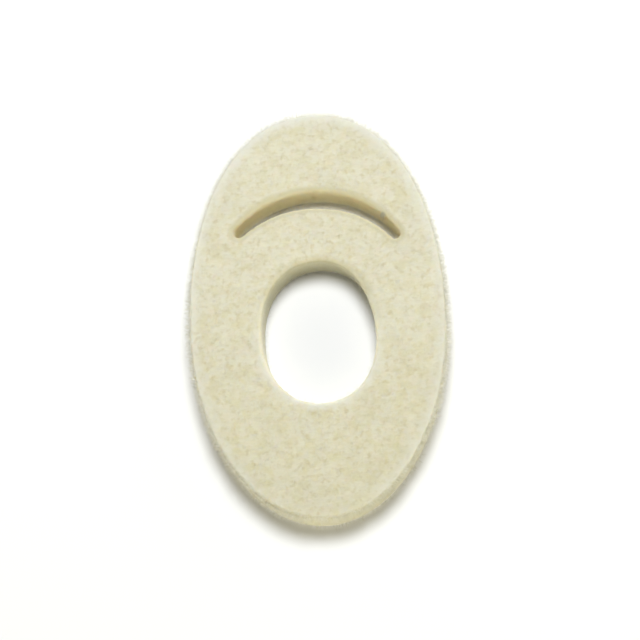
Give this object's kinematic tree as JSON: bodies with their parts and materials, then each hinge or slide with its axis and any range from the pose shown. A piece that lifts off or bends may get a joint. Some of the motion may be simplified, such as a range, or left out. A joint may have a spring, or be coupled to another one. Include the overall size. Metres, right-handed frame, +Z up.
{
  "type": "bunion pad",
  "caption": "Thick oval felt pad with an oval hole for the bunion and a crescent relief slit above it, on a thin adhesive backing of the same outline.",
  "frame": {"origin": "centre of the pad's outline on its flat underside, the face that sticks to the foot", "axes": "+Z up out of the underside towards the felt's top face, +Y along the pad from the heel end to the toe end where the crescent slit is, +X across it to the right seen from above"},
  "size_m": [0.0445, 0.0744, 0.0055],
  "materials": {
    "felt": "matte",
    "backing": "satin"
  },
  "bodies": {
    "root": {"felt_pad": "felt", "adhesive_backing": "backing"}
  },
  "joints": []
}
